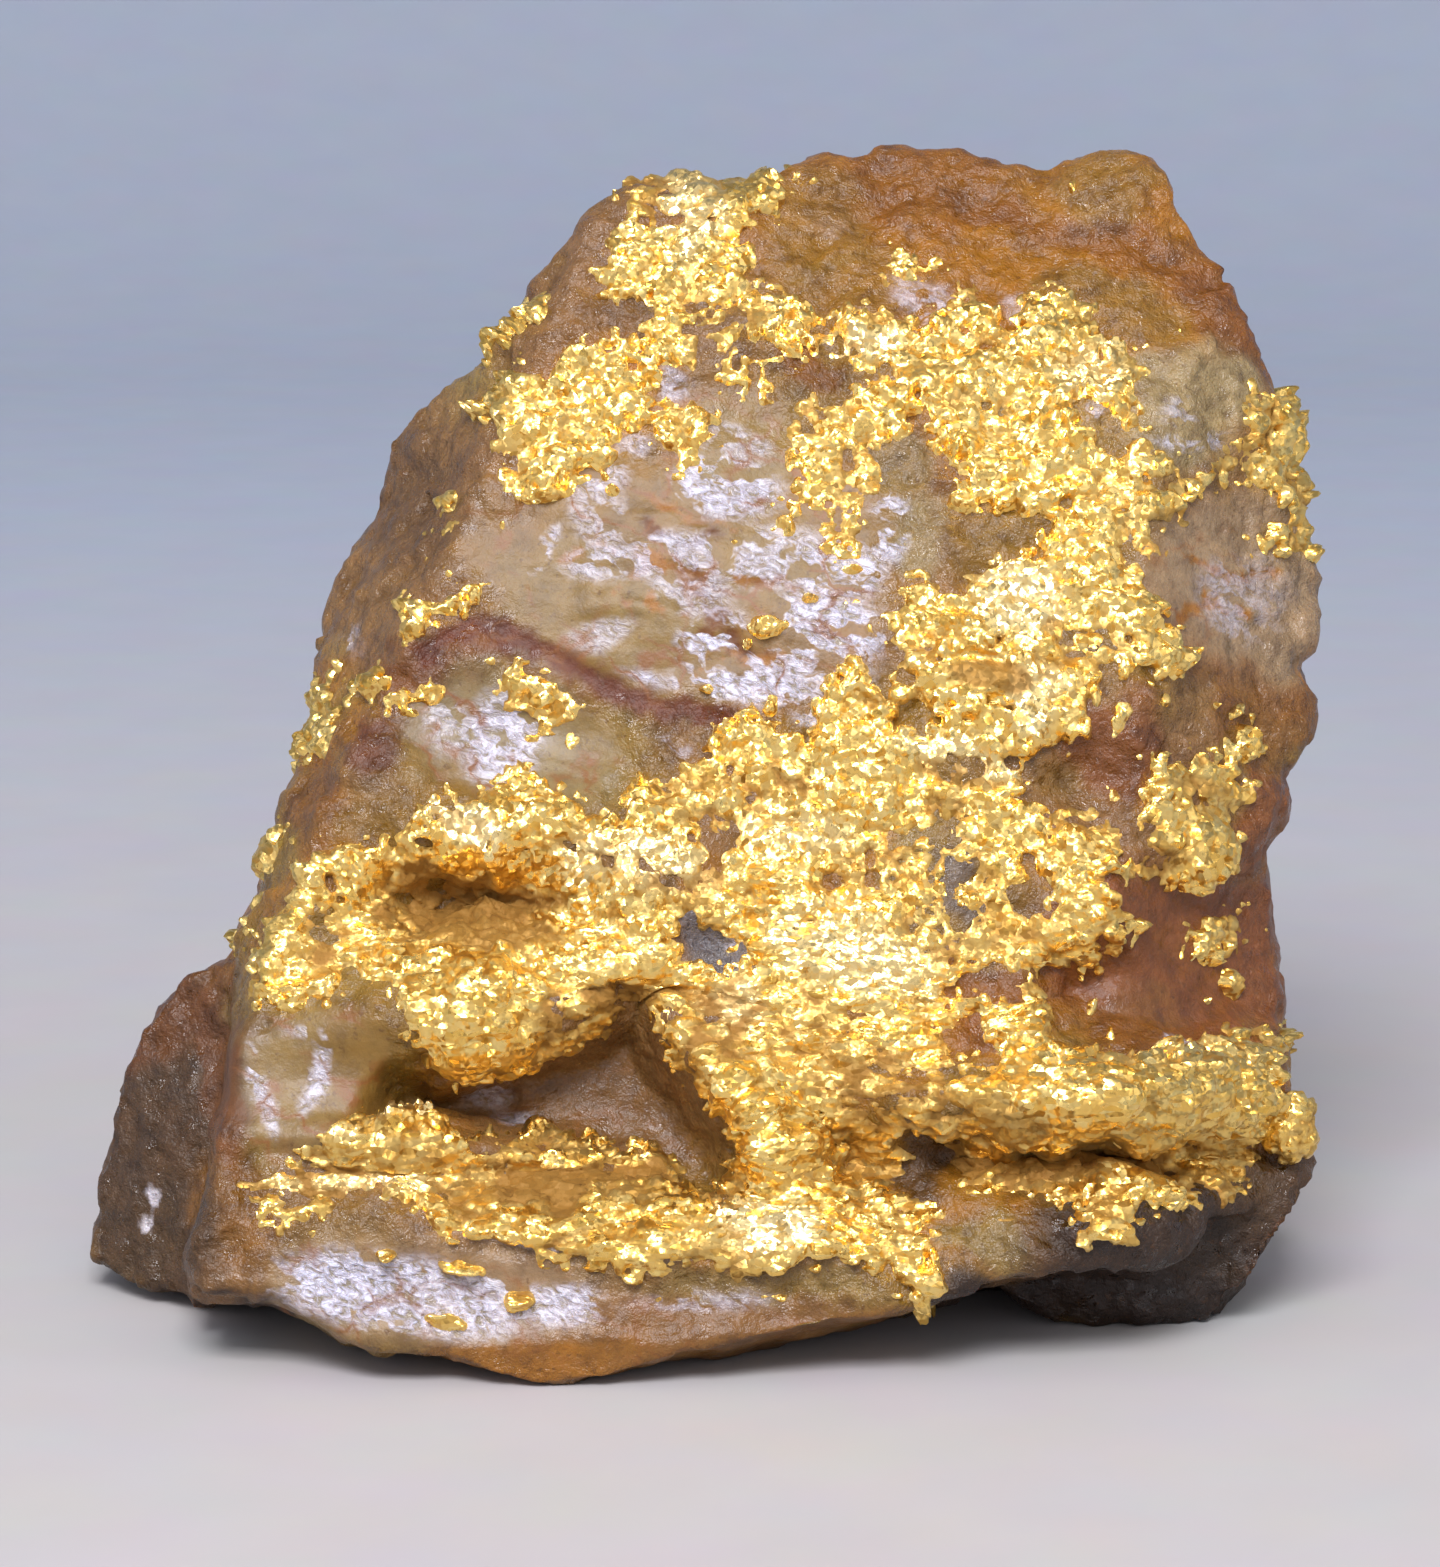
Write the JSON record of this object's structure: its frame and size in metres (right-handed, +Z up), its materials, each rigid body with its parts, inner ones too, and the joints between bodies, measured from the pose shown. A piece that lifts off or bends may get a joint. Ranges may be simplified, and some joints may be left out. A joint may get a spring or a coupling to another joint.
{
  "type": "gold-bearing quartz specimen",
  "caption": "Hand specimen of gold ore: a broken lump of iron-stained quartz standing on a flat broken base, its face crusted with granular native gold.",
  "frame": {"origin": "middle of the bounding box at the level of the broken base it stands on", "axes": "+Z up, +X to the right across the gold-crusted face, +Y away from the viewer, from the face towards the back"},
  "size_m": [0.0324, 0.021, 0.0289],
  "materials": {
    "quartz": "iron-stained quartz, honey to red-brown, glassy on broken faces",
    "gold": "granular native gold, bright metallic yellow"
  },
  "bodies": {
    "root": {"quartz_matrix": "quartz", "gold_crust_main": "gold", "gold_crown": "gold", "gold_islet_top": "gold", "gold_edge_upper_left": "gold", "gold_patch_left_upper": "gold", "gold_patch_left_lower": "gold", "gold_island": "gold", "gold_sliver": "gold", "gold_edge_left_middle": "gold", "gold_edge_left_lower": "gold", "gold_column_right": "gold", "gold_nugget_right": "gold"}
  },
  "joints": []
}
